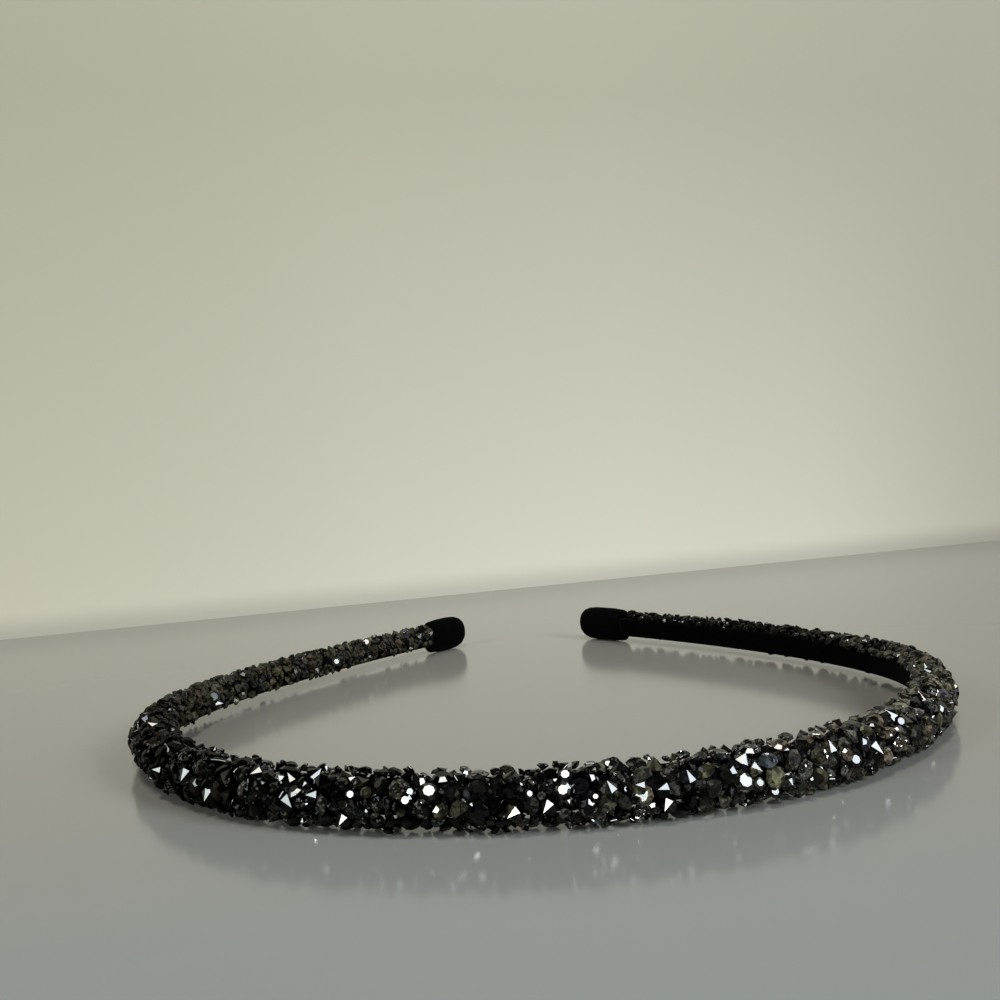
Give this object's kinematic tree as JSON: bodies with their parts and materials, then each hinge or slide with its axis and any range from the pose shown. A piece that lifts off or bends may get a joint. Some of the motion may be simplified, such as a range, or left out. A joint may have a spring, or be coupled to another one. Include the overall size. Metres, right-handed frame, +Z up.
{
  "type": "crystal headband",
  "caption": "Narrow springy headband, an open loop covered all round with pointed dark cut stones, with a black lining strip and a plain cap on each tip.",
  "frame": {"origin": "middle of the box's base, on the surface that the headband lies on", "axes": "+Z up, +Y from the top of the headband to its two tips, +X to the right as seen from the top of the headband"},
  "size_m": [0.1324, 0.1344, 0.0078],
  "materials": {
    "band_cloth": "black cloth under the stones, nearly hidden",
    "lining_velvet": "matt black velvet strip",
    "cut_glass": "polished dark cut glass, nearly opaque, some smoky brown and some clear",
    "tip_velvet": "matt black velvet"
  },
  "bodies": {
    "root": {"band": "band_cloth", "lining": "lining_velvet", "stones_left": "cut_glass", "stones_right": "cut_glass", "tip_left": "tip_velvet", "tip_right": "tip_velvet"}
  },
  "joints": []
}
